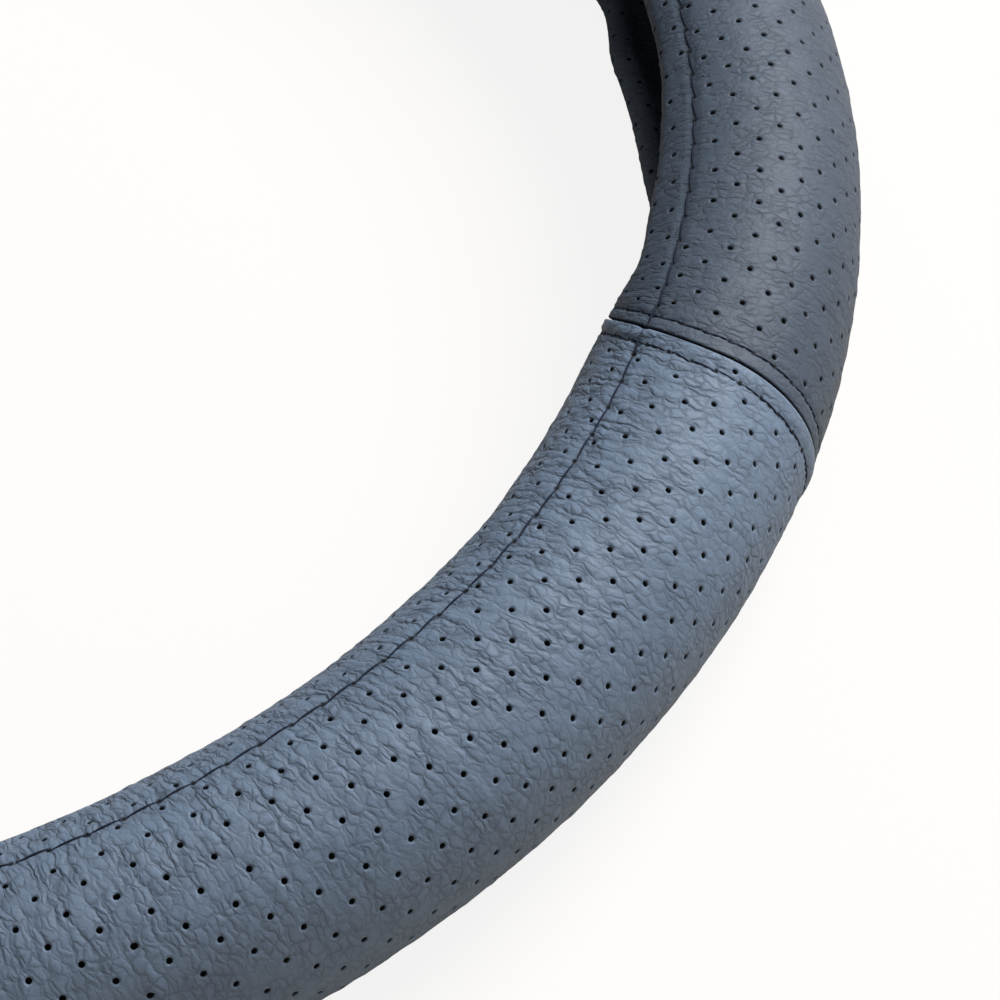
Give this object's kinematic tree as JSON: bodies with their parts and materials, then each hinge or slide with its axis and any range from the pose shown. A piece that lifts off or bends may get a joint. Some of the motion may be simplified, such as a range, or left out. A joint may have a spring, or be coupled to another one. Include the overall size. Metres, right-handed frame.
{
  "type": "steering wheel cover",
  "caption": "Slip-on steering wheel cover: perforated leather wrapped on a rubber ring with an inner slit, hemmed and topstitched at its joins, off the wheel.",
  "frame": {"origin": "on the ring's axis, in the plane that the cover lies on", "axes": "+Z along the ring's axis toward the front, the side that the slit is nearer to; +X and +Y in the ring's plane, halfway between two joins"},
  "size_m": [0.38, 0.38, 0.042],
  "materials": {
    "leather": "slate blue full-grain leather, perforated, low sheen",
    "rubber": "matt black moulded rubber",
    "thread": "dark navy sewing thread"
  },
  "bodies": {
    "root": {"inner_ring_1": "rubber", "inner_ring_2": "rubber", "inner_ring_3": "rubber", "inner_ring_4": "rubber", "leather_panel_1": "leather", "leather_panel_2": "leather", "leather_panel_3": "leather", "leather_panel_4": "leather", "hem_thread_front": "thread", "hem_thread_back": "thread", "topstitch_1_left": "thread", "topstitch_1_right": "thread", "topstitch_2_left": "thread", "topstitch_2_right": "thread", "topstitch_3_left": "thread", "topstitch_3_right": "thread", "topstitch_4_left": "thread", "topstitch_4_right": "thread", "closing_seam_1": "thread", "closing_seam_2": "thread", "closing_seam_3": "thread", "closing_seam_4": "thread"}
  },
  "joints": []
}
